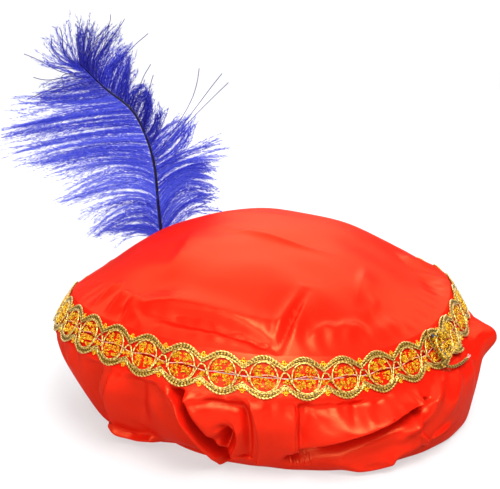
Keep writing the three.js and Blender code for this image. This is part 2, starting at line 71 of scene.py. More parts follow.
# Millimetres in a drop of 1, and in a degree of azimuth
PANEL_DROP, PANEL_ARC = 130, 2.6
LOW_KNOT, GROUND_IN, GROUND_HIGH, TUCK_SHARE, TUCK_HIGH = 0.3, 0.97, 0.4, 0.3, 2
HEM_X, HEM_Y, HEM_RADIUS, HEM_HIGH, HEM_THICK = 6, -27, 80, 10, 4
HEM_OUTSIDE = HEM_RADIUS + HEM_THICK / 2
HEM_CLEAR, HEM_CLEAR_DROP = 4, 0.8

# Folds: places of the start, bend and end, height (negative for a valley), width on the left and on
# the right, share of the height left at the start and at the end, how far the top leans over to its
# left, and how sharp it is. A place is X and Y on the crown, azimuth and drop on the panel. A row
# without the last two has no lean and is round.
CROWN_FOLDS = [
    [-88, -86, -46, -101, 4, -122, 6, 12, 2.4, 0.4, 1, -0.25, 1.7],
    [-76, -98, -38, -109, 6, -127, -6, 2.6, 6, 0.3, 1, 0, 1.8],
    [-50, -117, -22, -121, 4, -131, 3, 3, 3, 0.2, 0.8],
    [5, -131, 13, -119, 27, -80, 5.4, 4, 2.6, 1, 0.2, 0.2, 1.6],
    [9, -130, 16, -116, 29, -82, -5, 2.2, 3, 1, 0.1],
    [14, -132, 21, -114, 35, -78, 4.4, 3, 6, 0.9, 0.1, 0, 1.7],
    [-1, -133, 6, -122, 14, -112, -3, 4, 4, 1, 0.1],
    [27, -126, 36, -106, 52, -101, 3.2, 3, 6, 0.4, 0, 0, 1.8],
    [40, -122, 48, -102, 66, -92, 3, 3.4, 6, 0.2, 0],
    [52, -114, 57, -99, 71, -95, 2.6, 3, 5, 0.3, 0],
    [70, -108, 80, -91, 99, -72, 2.8, 6, 6, 0.3, 0],
    [63, -82, 66, -60, 74, -20, 2.2, 3, 9, 0.2, 0, 0, 1.8],
    [66, -92, 72, -76, 78, -60, 1.7, 4, 4, 0, 0],
    [118, 4, 125, -12, 126, -47, -2.8, 7, 7, 0, 0.3],
    [-45, 30, -50, -30, -64, -76, 2.2, 20, 5, 0, 0, 0, 1.8],
    [-34, 14, 6, -28, 58, -23, 1.8, 1.8, 5, 0, 0, 0, 1.8],
    [-100, -82, -94, -74, -87, -69, 4.4, 2.6, 3.4, 1, 0],
    [-89, -96, -84, -84, -80, -80, 4.6, 2.6, 4, 1, 0, 0.2, 2],
    [-78, -105, -80, -95, -86, -90, 3.8, 2.6, 3.4, 1, 0],
    [-110, -68, -102, -58, -92, -52, 3.6, 3, 5, 1, 0],
    [40, 90, 20, 112, 24, 128, 4.2, 12, 10, 0, 1],
    [-70, 70, -82, 84, -92, 92, -4.2, 10, 10, 0, 1],
    [100, 20, 112, 24, 130, 30, 3.4, 9, 9, 0, 1],
    [60, 100, 74, 112, 80, 118, 3.4, 5, 6, 0, 1],
    [-20, 108, -30, 122, -32, 134, 3.1, 5, 5, 0, 1],
    [-108, 40, -118, 44, -130, 50, 2.8, 5, 6, 0, 1],
]
PANEL_FOLDS = [
    [-39.5, 0.12, -36.8, 0.27, -51.5, 0.67, 6, 1.4, 12, 0.7, 1, 0.5, 2],
    [-45, 0.12, -47, 0.33, -58, 0.62, -11, 10, 3, 0.7, 0.4],
    [-66, 0.13, -66, 0.25, -64, 0.4, -2, 4, 6, 1, 0],
    [-58, 0.12, -59, 0.22, -60, 0.34, 1.6, 3, 4, 1, 0],
    [-50, 0.61, -47.4, 0.72, -37, 0.65, 9, 6, 4, 0.2, 1],
    [-33, 0.12, -31, 0.32, -39, 0.54, -8, 9, 9, 0.6, 0.3],
    [-28, 0.14, -23, 0.4, -15.5, 0.68, -7, 9, 3, 0.4, 1],
    [-25, 0.12, -23.5, 0.15, -22, 0.21, 2.5, 3, 3, 0.5, 0.5],
    [-21.8, 0.16, -17, 0.43, -12.2, 0.69, 11.5, 3, 3.6, 0.4, 0.7, 0.1, 2.2],
    [-21.6, 0.12, -16.8, 0.36, -9.8, 0.64, -17, 3, 5, 0.8, 0.7],
    [-18.4, 0.11, -14.6, 0.38, -7.4, 0.6, 8, 1.2, 9, 0.8, 0.5, 0.5, 2],
    [-44, 0.72, -33, 0.78, -21, 0.74, -9, 12, 14, 0.2, 0.8],
    [-17, 0.15, -11.9, 0.1, -3.8, 0.14, 2.4, 4, 4, 0.3, 0.2],
    [-16, 0.2, -11, 0.13, -2.4, 0.235, -3.4, 4, 5, 0.3, 0.3],
    [-8.6, 0.35, -6.5, 0.41, -9, 0.54, -14, 4.2, 1.5, 0.3, 0.4],
    [-14, 0.5, -11, 0.42, -8, 0.44, -4, 4, 4, 0, 0.4],
    [-7.2, 0.31, -4, 0.39, -7.2, 0.56, 4, 1.2, 7, 0.2, 0.7, 0.4, 2],
    [-7.2, 0.57, -4, 0.58, -0.6, 0.62, -2.6, 1.5, 1.5, 0.3, 0.3],
    [-14, 0.62, -9, 0.6, -5, 0.64, 3, 3, 4, 0.2, 0.2],
    [-3, 0.12, 1.3, 0.31, -0.6, 0.64, 4.5, 1, 9, 0.7, 1, 0.5, 2],
    [-5, 0.13, -1.5, 0.3, -3.2, 0.6, -5, 5, 1.4, 0.5, 0.6],
    [7.6, 0.12, 7.5, 0.32, 7, 0.54, 3.6, 8, 1, 0.7, 0.8, -0.4, 2],
    [9.4, 0.13, 10, 0.31, 9, 0.55, -5.5, 1.6, 8, 0.6, 0.6],
    [8, 0.16, 22, 0.17, 38, 0.17, -2.5, 6, 8, 0.5, 0.5],
    [24.4, 0.13, 23.4, 0.22, 20.4, 0.32, -3.4, 4, 5, 0.6, 0.2],
    [27.4, 0.13, 25.6, 0.2, 23, 0.3, 1, 2.5, 3, 0.6, 0.2],
    [31, 0.13, 28.6, 0.19, 26, 0.26, -2.4, 3, 4, 0.6, 0.2],
    [39, 0.215, 29, 0.21, 8.8, 0.477, 8.5, 9, 1.5, 0.7, 0.5, -0.5, 2],
    [39, 0.2, 35, 0.14, 29, 0.22, 2, 5, 2.4, 0.5, 0.3],
    [40, 0.258, 28.5, 0.262, 9, 0.53, -25, 2.8, 13, 0.8, 0.4, 0, 3],
    [22, 0.62, 36, 0.62, 47, 0.5, 6, 6, 9, 0.5, 0.3],
    [21, 0.63, 27, 0.73, 33, 0.66, 8, 6, 6, 0.2, 1],
    [40.8, 0.25, 38.8, 0.36, 35.4, 0.47, 6, 3, 6, 0.6, 0.3, 0, 1.8],
    [52, 0.12, 44.5, 0.29, 38.6, 0.4, 6, 2, 7, 0.7, 0.4, 0.3, 1.7],
    [39, 0.11, 40.6, 0.21, 40.8, 0.28, 2.4, 2.2, 2.2, 0.7, 0.5, 0, 1.8],
    [39.2, 0.43, 41.6, 0.53, 44.8, 0.6, 4.4, 1.6, 2.4, 0.2, 0.6, 0, 1.8],
    [45, 0.6, 45.6, 0.5, 56, 0.54, 4.4, 1.6, 2.4, 0.6, 0.1, 0, 1.8],
    [49.5, 0.56, 45.5, 0.57, 45.5, 0.62, -6, 2.4, 2.4, 0.3, 0.4],
    [61, 0.14, 49.5, 0.31, 52.8, 0.5, 3.4, 6, 7, 0.5, 0.2],
    [7.6, 0.51, 9.8, 0.52, 13.2, 0.525, 2, 1.5, 1.5, 0.3, 0.3],
    [80, 0.14, 87, 0.29, 83, 0.5, 10, 12, 11, 0.6, 0],
    [70, 0.13, 71, 0.3, 68, 0.5, -3.5, 7, 7, 0.2, 0.2],
    [-76, 0.13, -78, 0.36, -72, 0.72, -4, 10, 10, 0.3, 0.8],
    [-88, 0.13, -90, 0.4, -86, 0.75, 3, 5, 12, 0.4, 1],
    [-104, 0.13, -100, 0.4, -96, 0.8, 4.5, 5, 12, 0.4, 1, 0.3, 2],
    [-116, 0.13, -113, 0.4, -110, 0.75, -4, 8, 6, 0.3, 1],
    [-128, 0.13, -126, 0.4, -120, 0.8, 4.5, 5, 12, 0.4, 1, 0.3, 2],
    [-146, 0.13, -142, 0.5, -140, 0.8, -4.5, 12, 8, 0.3, 1],
    [-168, 0.13, -165, 0.4, -160, 0.8, 5, 7, 14, 0.4, 1, 0.2, 2],
    [174, 0.13, 170, 0.5, 168, 0.8, -4, 10, 8, 0.3, 1],
    [152, 0.13, 150, 0.4, 146, 0.8, 5, 14, 6, 0.4, 1, -0.3, 2],
    [134, 0.13, 132, 0.5, 126, 0.8, -5, 10, 10, 0.3, 1],
    [118, 0.13, 112, 0.4, 108, 0.8, 5, 12, 6, 0.4, 1, -0.3, 2],
    [102, 0.13, 99, 0.4, 97, 0.7, -3.5, 8, 8, 0.3, 1],
]
# Tight gathers low on the panel, right of the strip
GATHERS, GATHER_FROM, GATHER_PITCH = 6, 8.4, 0.9
for k in range(GATHERS):
    at = GATHER_FROM + GATHER_PITCH * k
    PANEL_FOLDS.append([at, 0.54, at + 0.2, 0.59, at + 0.4, 0.66, 1.4, 0.6, 0.6, 0.4, 1])

# Steps along a fold's line, how many widths it reaches, and the share that tapers
FOLD_STEPS, FOLD_REACH, FOLD_MARGIN, FOLD_TAPER = 24, 3.2, 2, 0.4

# The cloth's fine unevenness: number of waves, shortest, longest and seed
CROWN_RIPPLES, PANEL_RIPPLES = (9, 34, 95, 5), (9, 18, 60, 8)
RIPPLE_HEIGHT, RIPPLE_STRETCH, BACK_FADE = 0.4, 0.35, 15

# Small gathers beside the braid: two counts round the hat and their wander
CROWN_PUCKERS, PANEL_PUCKERS, PANEL_SLANT = (67, 41, 2), (71, 113, 2.2), 9
CROWN_PUCKER_HEIGHT, PANEL_PUCKER_HEIGHT = 0.22, 0.34
CROWN_PUCKER_BAND, PANEL_PUCKER_BAND = (0.8, 0.93), (0.1, 0.14, 0.34)

# How steeply folds and small gathers fade to the seam and the hem
CROWN_FADE, CROWN_PUCKER_FADE, PANEL_CLEAR, PANEL_FADE = 8, 22, (0.105, 0.18), 5


def through(places, values, at, flat_start=False):
    """A smooth curve through values at uneven places."""
    places = np.asarray(places, float)
    values = np.stack([np.broadcast_to(np.asarray(v, float), at.shape) for v in values])
    last = len(places) - 1
    pairs = [(max(k - 1, 0), min(k + 1, last)) for k in range(last + 1)]
    slopes = np.stack([(values[b] - values[a]) / (places[b] - places[a]) for a, b in pairs])
    if flat_start:
        slopes[0] = 0
    i = np.clip(np.searchsorted(places, at, side="left") - 1, 0, last - 1)
    span = places[i + 1] - places[i]
    t = (at - places[i]) / span
    rest = 1 - t

    def take(stack, k):
        return np.take_along_axis(stack, k[None], 0)[0]

    return (
        take(values, i) * rest * rest * (1 + 2 * t)
        + take(values, i + 1) * t * t * (3 - 2 * t)
        + span * (take(slopes, i) * t * rest * rest - take(slopes, i + 1) * t * t * rest)
    )


def around(rows, azimuth):
    """One column of a table with a row for each evenly spaced azimuth."""
    rows = np.asarray(rows, float)
    turns = (azimuth % 360) / (360 / len(rows))
    start = np.floor(turns).astype(int)
    near = [rows[(start + k) % len(rows)] for k in (-1, 0, 1, 2)]
    return through([-1, 0, 1, 2], near, turns - start)


def plan(azimuth, radius, height):
    """Places round the hat's axis."""
    angle = np.radians(azimuth)
    return np.stack([radius * np.sin(angle), -radius * np.cos(angle), height + 0 * angle], -1)


def hem_ring(azimuth, radius, height):
    """Places round the hem's own axis."""
    return plan(azimuth, radius, height) + [HEM_X, HEM_Y, 0]


def under_braid(azimuth, below, out=0):
    """The slope under the braid; below is the distance from the braid's middle line."""
    azimuth = np.asarray(azimuth, float)
    radius = around(SEAM["radius"], azimuth)
    height = around(SEAM["height"], azimuth)
    return plan(
        azimuth,
        radius + below * math.sin(BRAID_SLOPE) + out * math.cos(BRAID_SLOPE),
        height - below * math.cos(BRAID_SLOPE) + out * math.sin(BRAID_SLOPE),
    )


def smoothstep(x, low, high):
    t = np.clip((x - low) / (high - low), 0, 1)
    return t * t * (3 - 2 * t)


def half_turn(azimuth):
    """The same azimuth, from -180 to 180."""
    return (azimuth + 180) % 360 - 180


def bezier(start, bend, end, steps):
    """A curve from start to end, drawn towards a bend."""
    t = (np.arange(steps + 1) / steps)[:, None]
    start, bend, end = np.array([start, bend, end], float)
    return (1 - t) ** 2 * start + 2 * t * (1 - t) * bend + t * t * end


def circle(count):
    """Evenly spaced angles."""
    return np.arange(count) * 2 * math.pi / count


def unit(vectors):
    return vectors / np.maximum(np.linalg.norm(vectors, axis=-1, keepdims=True), 1e-9)


def fold_sum(folds, u, v, scale_u, scale_v):
    """Height of all the folds at each place, and how far their tops lean along each direction."""
    total = np.zeros_like(u)
    lean_u = np.zeros_like(u)
    lean_v = np.zeros_like(u)
    x, y = u * scale_u, v * scale_v
    for row in folds:
        height, left, right, at_start, at_end, lean, power = [*row[6:], 0, 2][:7]
        line = bezier(row[0:2], row[2:4], row[4:6], FOLD_STEPS) * [scale_u, scale_v]
        reach = FOLD_REACH * max(left, right) + FOLD_MARGIN
        low = line.min(0) - reach
        high = line.max(0) + reach
        near = (x > low[0]) & (x < high[0]) & (y > low[1]) & (y < high[1])
        if not near.any():
            continue
        places = np.stack([x[near], y[near]], -1)
        nearest = np.full(len(places), np.inf)
        share = np.zeros(len(places))
        side = np.zeros(len(places))
        away = np.zeros((len(places), 2))
        for k in range(FOLD_STEPS):
            step = line[k + 1] - line[k]
            t = np.clip(((places - line[k]) @ step) / (step @ step), 0, 1)
            off = places - line[k] - t[:, None] * step
            distance = np.hypot(off[:, 0], off[:, 1])
            hit = distance < nearest
            nearest[hit] = distance[hit]
            share[hit] = (k + t[hit]) / FOLD_STEPS
            ahead = step / np.hypot(*step)
            side[hit] = ahead[0] * off[hit, 1] - ahead[1] * off[hit, 0]
            away[hit] = [-ahead[1], ahead[0]]
        turn = side / np.maximum(nearest, 1e-6)
        width = 0.5 * (left + right) + 0.5 * (left - right) * turn
        rise = at_start + (1 - at_start) * smoothstep(share, 0, FOLD_TAPER)
        fall = at_end + (1 - at_end) * smoothstep(1 - share, 0, FOLD_TAPER)
        raised = height * rise * fall * np.exp(-((nearest / width) ** power))
        total[near] += raised
        if lean:
            lean_u[near] += lean * raised * away[:, 0] / scale_u
            lean_v[near] += lean * raised * away[:, 1] / scale_v
    return total, lean_u, lean_v


def ripples(u, v, count, short, long, seed):
    """Soft seeded unevenness of about 1, with wavelengths from short to long."""
    own = np.random.default_rng(seed)
    total = np.zeros_like(u)
    for _ in range(count):
        angle = own.uniform(0, math.pi)
        wave = own.uniform(short, long)
        phase = own.uniform(0, 2 * math.pi)
        total += np.sin((u * math.cos(angle) + v * math.sin(angle)) * 2 * math.pi / wave + phase)
    return total / count**0.5


def puckers(azimuth, count, other_count, wander, shift=0):
    """Small uneven gathers, from two waves round the hat whose pitch wanders."""
    angle = np.radians(azimuth)
    main = np.sin(count * angle + wander * np.sin(5 * angle) + shift)
    return main + 0.6 * np.sin(other_count * angle + 3 * np.sin(3 * angle))


def crown_surface(azimuth, share):
    """The crown's outer face; share is 0 at its middle and 1 at the seam."""
    edge = under_braid(azimuth, -BRAID_HALF)
    heights = [CROWN_MIDDLE + 0 * azimuth]
    heights += [around(CROWN[c], azimuth) for c in ("near", "middle", "far")]
    heights.append(edge[..., 2])
    z = through(CROWN_SHARES, heights, share, True)
    x = edge[..., 0] * share
    y = edge[..., 1] * share + CROWN_SHIFT * (1 - share * share)
    fade = np.minimum(1, (1 - share) * CROWN_FADE)
    fold, lean_x, lean_y = fold_sum(CROWN_FOLDS, x, y, 1, 1)
    fine = RIPPLE_HEIGHT * ripples(x, y, *CROWN_RIPPLES)
    pucker = CROWN_PUCKER_HEIGHT * puckers(azimuth, *CROWN_PUCKERS)
    pucker *= smoothstep(share, *CROWN_PUCKER_BAND)
    pucker *= np.minimum(1, (1 - share) * CROWN_PUCKER_FADE)
    z = z + (fold + fine) * fade + pucker
    return np.stack([x + lean_x * fade, y + lean_y * fade, z], -1)


def panel_surface(azimuth, drop):
    """The panel's outer face; drop is 0 behind the middle of the braid and 1 at the hem."""
    clear = smoothstep(drop, *PANEL_CLEAR) * np.clip((1 - drop) * PANEL_FADE, 0, 1)
    turned = half_turn(azimuth)
    out, lean_a, lean_d = fold_sum(PANEL_FOLDS, turned, drop, PANEL_ARC, PANEL_DROP)
    fine = ripples(turned * PANEL_ARC, drop * PANEL_DROP * RIPPLE_STRETCH, *PANEL_RIPPLES)
    fine *= RIPPLE_HEIGHT * np.clip((180 - abs(turned)) / BACK_FADE, 0, 1)
    low, full, high = PANEL_PUCKER_BAND
    pucker = PANEL_PUCKER_HEIGHT * puckers(turned, *PANEL_PUCKERS, PANEL_SLANT * drop)
    pucker *= smoothstep(drop, low, full) * (1 - smoothstep(drop, full, high))
    out = clear * (out + fine) + pucker
    azimuth = azimuth + clear * lean_a
    drop = np.clip(drop + clear * lean_d, 0, 1)
    wide, high, foot = (around(PANEL[c], azimuth) for c in ("wide", "high", "foot"))
    ground = plan(azimuth, foot * GROUND_IN, GROUND_HIGH)
    knots = [
        under_braid(azimuth, BRAID_HALF),
        plan(azimuth, wide, high),
        plan(azimuth, foot + LOW_KNOT * (wide - foot), LOW_KNOT * high),
        ground,
        ground + TUCK_SHARE * (hem_ring(azimuth, HEM_OUTSIDE, TUCK_HIGH) - ground),
        hem_ring(azimuth, HEM_OUTSIDE, HEM_HIGH - 1),
    ]
    point = np.stack([through(PANEL_PLACES, [k[..., c] for k in knots], drop) for c in range(3)], -1)
    top = under_braid(azimuth, GAP + (drop / PANEL_PLACES[0]) * (BRAID_HALF - GAP))
    point = np.where((drop < PANEL_PLACES[0])[..., None], top, point)
    point += plan(azimuth, out, 0)
    point[..., 2] = np.maximum(point[..., 2], 0)
    from_hem = np.hypot(point[..., 0] - HEM_X, point[..., 1] - HEM_Y)
    least = HEM_OUTSIDE + np.where(drop < HEM_CLEAR_DROP, HEM_CLEAR, 0)
    push = np.where((point[..., 2] < 2 * HEM_HIGH) & (from_hem < least), least / from_hem, 1)
    point[..., 0] = HEM_X + (point[..., 0] - HEM_X) * push
    point[..., 1] = HEM_Y + (point[..., 1] - HEM_Y) * push
    return point


def mesh_piece(name, points, triangles, shade, material, nodes, slot=None):
    """A named piece from points in millimetres and triangles, riding on the root body."""
    mesh = bpy.data.meshes.new(name)
    points = (np.asarray(points, float) + HAT) * MM
    triangles = np.asarray(triangles, np.int32)
    mesh.vertices.add(len(points))
    mesh.vertices.foreach_set("co", points.astype(np.float32).ravel())
    mesh.loops.add(triangles.size)
    mesh.loops.foreach_set("vertex_index", triangles.ravel())
    mesh.polygons.add(len(triangles))
    mesh.polygons.foreach_set("loop_start", np.arange(0, triangles.size, 3, dtype=np.int32))
    mesh.update(calc_edges=True)
    mesh.validate()
    mesh.polygons.foreach_set("use_smooth", np.ones(len(mesh.polygons), bool))
    if shade is not None:
        attribute = mesh.attributes.new("shade", "FLOAT", "POINT")
        attribute.data.foreach_set("value", np.asarray(shade, np.float32))
    obj = bpy.data.objects.new(name, mesh)
    bpy.context.scene.collection.objects.link(obj)
    mesh.materials.append(material)
    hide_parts(*nodes)
    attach(obj, "root")
    return obj


def join(parts):
    """Points and triangles of several parts, and any per-point values, as one."""
    points, triangles, extras, base = [], [], [], 0
    for part in parts:
        points.append(part[0])
        triangles.append(part[1] + base)
        base += len(part[0])
        if len(part) > 2:
            extras.append(part[2])
    extra = np.concatenate(extras) if extras else None
    return np.concatenate(points), np.concatenate(triangles), extra


def quads(a, b, c, d):
    """Two triangles for each face with the corners a, b, c and d."""
    return np.stack([a, b, c, a, c, d], -1).reshape(-1, 3)


def cloth_shell(outer, wall, inner_rows, apex, floor):
    """A closed cloth wall. outer is [row, column, xyz]; the inner face has fewer rows."""
    down = np.gradient(outer, axis=0)
    sideways = np.roll(outer, -1, 1) - np.roll(outer, 1, 1)
    outward = unit(np.cross(down, sideways))
    if apex:
        outward[0] = [0, 0, 1]
    keep = np.unique(np.round(np.linspace(0, len(outer) - 1, inner_rows)).astype(int))
    inner = outer[keep] - wall * outward[keep]
    inner[..., 2] = np.maximum(inner[..., 2], floor)
    if apex:
        outer, inner = outer[1:], inner[1:]
    points = [outer.reshape(-1, 3), inner.reshape(-1, 3)]
    over = np.arange(len(points[0])).reshape(outer.shape[:2])
    under = over.size + np.arange(len(points[1])).reshape(inner.shape[:2])
    over_next, under_next = np.roll(over, -1, 1), np.roll(under, -1, 1)
    faces = [
        quads(over[:-1], over[1:], over_next[1:], over_next[:-1]),
        quads(under[:-1], under_next[:-1], under_next[1:], under[1:]),
        quads(over[-1], under[-1], under_next[-1], over_next[-1]),
    ]
    if apex:
        points.append(np.array([[0, CROWN_SHIFT, face[0, :, 2].mean()] for face in (outer, inner)]))
        top = np.full(over.shape[1], over.size + under.size)
        faces.append(np.stack([top, over[0], over_next[0]], -1))
        faces.append(np.stack([top + 1, under_next[0], under[0]], -1))
    else:
        faces.append(quads(over[0], over_next[0], under_next[0], under[0]))
    return np.concatenate(points), np.concatenate(faces)


def tubes(paths, radii, sides, up, closed=False, flatten=1.0):
    """Round tubes along paths [tube, point, xyz]. radii is one radius, or one for each point or
    side; up is one vector or one for each point; flatten squeezes the tubes along up."""
    paths = np.asarray(paths, float)
    count, steps = paths.shape[:2]
    radii = np.asarray(radii, float)
    if radii.ndim < 3:
        radii = np.broadcast_to(radii, (count, steps))[..., None]
    radii = np.broadcast_to(radii, (count, steps, sides))
    if closed:
        ahead = np.roll(paths, -1, 1) - np.roll(paths, 1, 1)
    else:
        ahead = np.gradient(paths, axis=1)
    ahead = unit(ahead)
    side = unit(np.cross(ahead, np.broadcast_to(up, paths.shape)))
    over = np.cross(side, ahead)
    angle = circle(sides)[:, None]
    ring = side[:, :, None] * np.cos(angle) + over[:, :, None] * np.sin(angle) * flatten
    points = paths[:, :, None] + ring * radii[..., None]
    index = np.arange(count * steps * sides).reshape(count, steps, sides)
    here = index if closed else index[:, :-1]
    there = np.roll(index, -1, 1) if closed else index[:, 1:]
    faces = [quads(here, there, np.roll(there, -1, 2), np.roll(here, -1, 2))]
    if not closed:
        for k in range(1, sides - 1):
            front, rear = index[:, 0], index[:, -1]
            faces.append(np.stack([front[:, 0], front[:, k], front[:, k + 1]], -1))
            faces.append(np.stack([rear[:, 0], rear[:, k + 1], rear[:, k]], -1))
    return points.reshape(-1, 3), np.concatenate(faces)


FINE_STEPS = 400


def smooth_line(points, count):
    """Evenly spaced points on a smooth line through a few points."""
    points = np.asarray(points, float)
    steps = np.linalg.norm(np.diff(points, axis=0), axis=1) ** 0.5
    places = np.concatenate([[0], np.cumsum(steps)])
    fine = np.linspace(0, places[-1], FINE_STEPS)
    line = np.stack([through(places, column, fine) for column in points.T], -1)
    run = np.concatenate([[0], np.cumsum(np.linalg.norm(np.diff(line, axis=0), axis=1))])
    even = np.linspace(0, run[-1], count)
    return np.stack([np.interp(even, run, column) for column in line.T], -1)


# Materials
def fill(tree, node, values=(), links=()):
    """Set some inputs of a node to values, and link some to outputs."""
    for key, value in dict(values).items():
        node.inputs[key].default_value = value
    for key, source in dict(links).items():
        tree.links.new(source, node.inputs[key])
    return node


def new_material(name, values):
    material = bpy.data.materials.new(name)
    material.use_nodes = True
    tree = material.node_tree
    return material, tree, fill(tree, tree.nodes["Principled BSDF"], values)


def add(tree, kind, values=(), links=(), **settings):
    node = tree.nodes.new(kind)
    for key, value in settings.items():
        setattr(node, key, value)
    return fill(tree, node, values, links)


def ramp(tree, factor, stops):
    node = add(tree, "ShaderNodeValToRGB", links={"Fac": factor})
    elements = node.color_ramp.elements
    while len(elements) < len(stops):
        elements.new(0.5)
    for element, (place, colour) in zip(elements, stops):
        element.position = place
        element.color = (*colour, 1)
    return node.outputs["Color"]


def noise(tree, scale, detail=2):
    """Noise over the object's own coordinates."""
    where = add(tree, "ShaderNodeTexCoord").outputs["Object"]
    values = {"Scale": scale, "Detail": detail}
    return add(tree, "ShaderNodeTexNoise", values, {"Vector": where}).outputs["Fac"]


def bump(tree, height, strength):
    values = {"Strength": strength, "Distance": BUMP_DISTANCE}
    return add(tree, "ShaderNodeBump", values, {"Height": height}).outputs["Normal"]


def shade_of(tree):
    """The shade stored at each point of a piece."""
    return add(tree, "ShaderNodeAttribute", attribute_name="shade").outputs["Fac"]


def mix_surface(tree, shader, other, share):
    """Two shaders as the material's surface, with a share of the other one."""
    links = {1: shader.outputs["BSDF"], 2: other.outputs["BSDF"]}
    mix = add(tree, "ShaderNodeMixShader", {"Fac": share}, links)
    fill(tree, tree.nodes["Material Output"], links={"Surface": mix.outputs["Shader"]})


def satin_material():
    values = {"Roughness": 0.5, "Specular IOR Level": SATIN_SPECULAR}
    material, tree, shader = new_material("satin", values)
    colour = ramp(tree, noise(tree, SATIN_CLOUD, 3), [(0.3, SATIN_DARK), (0.7, SATIN_LIGHT)])
    normal = bump(tree, noise(tree, SATIN_WEAVE), SATIN_BUMP)
    fill(tree, shader, links={"Base Color": colour, "Normal": normal})
    values = {"Color": GLOSS, "Roughness": GLOSS_ROUGH}
    gloss = add(tree, "ShaderNodeBsdfAnisotropic", values, {"Normal": normal})
    mix_surface(tree, shader, gloss, GLOSS_SHARE)
    return material


def gold_material(name, light, dark, roughness, scale):
    """Metal thread; its colour is darkened by painted shade where the shade attribute is 1, in the
    grooves of a twisted cord.
    """
    values = {"Roughness": roughness, "Metallic": GOLD_METALLIC}
    material, tree, shader = new_material(name, values)
    grain = noise(tree, scale)
    links = {0: shade_of(tree), 2: grain}
    # Painted shade: the grain is lowered by the shade attribute, so the cord's grooves get a darker
    # colour
    painted_groove_shade = add(tree, "ShaderNodeMath", {1: -GROOVE_PAINTED_SHADE}, links, operation="MULTIPLY_ADD")
    colour = ramp(tree, painted_groove_shade.outputs["Value"], [(0.3, dark), (0.5, light)])
    fill(tree, shader, links={"Base Color": colour, "Normal": bump(tree, grain, GOLD_BUMP)})
    return material


def plain_material(name, colour, roughness, specular=0.5):
    values = {"Roughness": roughness, "Specular IOR Level": specular}
    material, tree, shader = new_material(name, values)
    darker = tuple(0.7 * c for c in colour)
    tone = ramp(tree, noise(tree, THREAD_GRAIN), [(0.35, darker), (0.65, colour)])
    fill(tree, shader, links={"Base Color": tone})
    return material


def feather_material():
    """Dyed barbs that let some light through, with a painted glow from emission in their own colour;
    the shade is 0 for light and 1 for dark.
    """
    values = {"Roughness": 0.6, "Emission Strength": FEATHER_PAINTED_GLOW}
    material, tree, shader = new_material("feather", values)
    colour = ramp(tree, shade_of(tree), FEATHER_SHADES)
    # The emission paints a glow in the barbs' own colour
    fill(tree, shader, links={"Base Color": colour, "Emission Color": colour})
    glow = add(tree, "ShaderNodeBsdfTranslucent", links={"Color": colour})
    mix_surface(tree, shader, glow, 0.5)
    return material


BUMP_DISTANCE = 0.0003
SATIN_DARK, SATIN_LIGHT = (0.48, 0.0052, 0.0016), (0.54, 0.0066, 0.0020)
SATIN_SPECULAR, SATIN_CLOUD, SATIN_WEAVE, SATIN_BUMP = 0.005, 14, 1800, 0.08
GLOSS, GLOSS_ROUGH, GLOSS_SHARE = (1.0, 0.29, 0.1, 1), 0.34, 0.058
# Gold: metallic share, how far painted shade darkens the grooves of twisted cords, and bump strength
GOLD_METALLIC, GROOVE_PAINTED_SHADE, GOLD_BUMP = 0.55, 0.3, 0.35
THREAD_GRAIN = 700
# Strength of the feather's painted glow: emission standing in for light passing through the barbs
FEATHER_PAINTED_GLOW = 0.7
FEATHER_SHADES = [
    (0.0, (0.11, 0.14, 0.66)), (0.4, (0.045, 0.058, 0.55)),
    (0.75, (0.017, 0.018, 0.38)), (1.0, (0.008, 0.006, 0.17)),
]
SATIN = satin_material()
GOLD_CORD = gold_material("gold_cord", (0.85, 0.60, 0.17), (0.22, 0.11, 0.006), 0.3, 1500)
GOLD_GIMP = gold_material("gold_gimp", (0.42, 0.24, 0.016), (0.06, 0.03, 0.002), 0.34, 1500)
GOLD_TINSEL = gold_material("gold_tinsel", (0.85, 0.50, 0.012), (0.45, 0.17, 0.002), 0.26, 1300)
PINK = plain_material("pink_thread", (0.9, 0.36, 0.30), 0.6)
STITCH = plain_material("stitch_thread", (0.045, 0.045, 0.07), 0.6)
QUILL = plain_material("quill", (0.010, 0.008, 0.030), 0.35, 0.12)
FEATHER = feather_material()

# Crown
CLOTH_WALL = 1.3
CROWN_COLUMNS, CROWN_ROWS, CROWN_INNER_ROWS, CROWN_CROWDING = 440, 104, 26, 1.15
TUCK_SHARES = (0.35, 0.7, 1)
share = 1 - (1 - np.linspace(0, 1, CROWN_ROWS)) ** CROWN_CROWDING
azimuth = np.arange(CROWN_COLUMNS) * 360 / CROWN_COLUMNS
grid_share, grid_azimuth = np.meshgrid(share, azimuth, indexing="ij")
crown_outer = [crown_surface(grid_azimuth, grid_share)]
crown_outer += [under_braid(azimuth, -BRAID_HALF * (1 - k) - GAP * k)[None] for k in TUCK_SHARES]
crown_shell = cloth_shell(np.concatenate(crown_outer), CLOTH_WALL, CROWN_INNER_ROWS, True, 0)
crown = mesh_piece("crown_cloth", *crown_shell, None, SATIN, ["crown"], "satin")

# Side panel: its columns stand closer at the front
PANEL_COLUMNS, PANEL_INNER_ROWS, FRONT_CROWDING = 620, 20, 0.48
drop = np.concatenate([[0, 0.05, 0.09], np.linspace(0.11, 0.8, 109), np.linspace(0.82, 1, 10)])
turn = np.arange(PANEL_COLUMNS) * 360 / PANEL_COLUMNS
azimuth = turn - np.degrees(FRONT_CROWDING * np.sin(np.radians(turn)))
grid_drop, grid_azimuth = np.meshgrid(drop, azimuth, indexing="ij")
panel_outer = panel_surface(grid_azimuth, grid_drop)
panel_shell = cloth_shell(panel_outer, CLOTH_WALL, PANEL_INNER_ROWS, False, CLOTH_WALL)
panel = mesh_piece("side_cloth", *panel_shell, None, SATIN, ["side_panel"], "satin")

